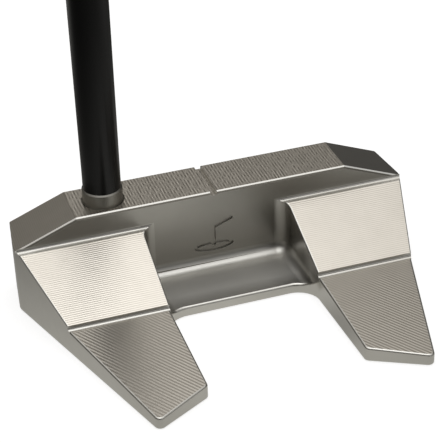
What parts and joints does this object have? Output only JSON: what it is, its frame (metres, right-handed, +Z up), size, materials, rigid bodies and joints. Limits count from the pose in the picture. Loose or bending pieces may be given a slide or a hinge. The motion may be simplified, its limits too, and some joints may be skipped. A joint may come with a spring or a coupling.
{
  "type": "mallet putter",
  "caption": "Golf putter with a milled steel winged mallet head, double-bend black shaft, flat-fronted rubber grip and screw-in sole weights.",
  "frame": {"origin": "on the ground at the middle of the sole, on the sight line, 22 mm behind the face's leading edge", "axes": "+Y from the head towards the target, +X from heel to toe, +Z up from the ground the sole rests on"},
  "size_m": [0.3544, 0.0921, 0.8174],
  "materials": {
    "head_steel": "milled satin stainless steel",
    "post_steel": "turned satin",
    "shaft_black": "satin black",
    "grip_rubber": "fine moulded texture",
    "grip_foam": "closed-cell foam",
    "tape": "paper-backed tape",
    "weight_steel": "turned satin",
    "plate_aluminium": "bead-blasted",
    "screw_steel": "dark steel",
    "seal_rubber": "matt"
  },
  "bodies": {
    "club": {"head_body": "head_steel", "hosel_post": "post_steel", "shaft": "shaft_black", "grip_tape": "tape", "grip_core": "grip_foam", "grip_skin": "grip_rubber", "grip_cap": "grip_rubber", "sole_plate": "plate_aluminium", "plate_screws": "screw_steel"},
    "seal_heel": {"weight_seal_heel": "seal_rubber"},
    "weight_heel": {"sole_weight_heel": "weight_steel"},
    "seal_toe": {"weight_seal_toe": "seal_rubber"},
    "weight_toe": {"sole_weight_toe": "weight_steel"}
  },
  "joints": [
    {"name": "weight_heel_travel", "type": "slide", "parent": "club", "child": "seal_heel", "axis": [0, 0, -1], "range_m": [0, 0.004]},
    {"name": "weight_heel_turn", "type": "hinge", "parent": "seal_heel", "child": "weight_heel", "pos_m": [-0.0315, -0.002, 0], "axis": [0, 0, -1], "range_deg": [0, 1441]},
    {"name": "weight_toe_travel", "type": "slide", "parent": "club", "child": "seal_toe", "axis": [0, 0, -1], "range_m": [0, 0.004]},
    {"name": "weight_toe_turn", "type": "hinge", "parent": "seal_toe", "child": "weight_toe", "pos_m": [0.0315, -0.002, 0], "axis": [0, 0, -1], "range_deg": [0, 1441]}
  ],
  "couplings": [
    {"joint": "weight_heel_turn", "follows": "weight_heel_travel", "rad_per_m": 6283.2},
    {"joint": "weight_toe_turn", "follows": "weight_toe_travel", "rad_per_m": 6283.2}
  ]
}
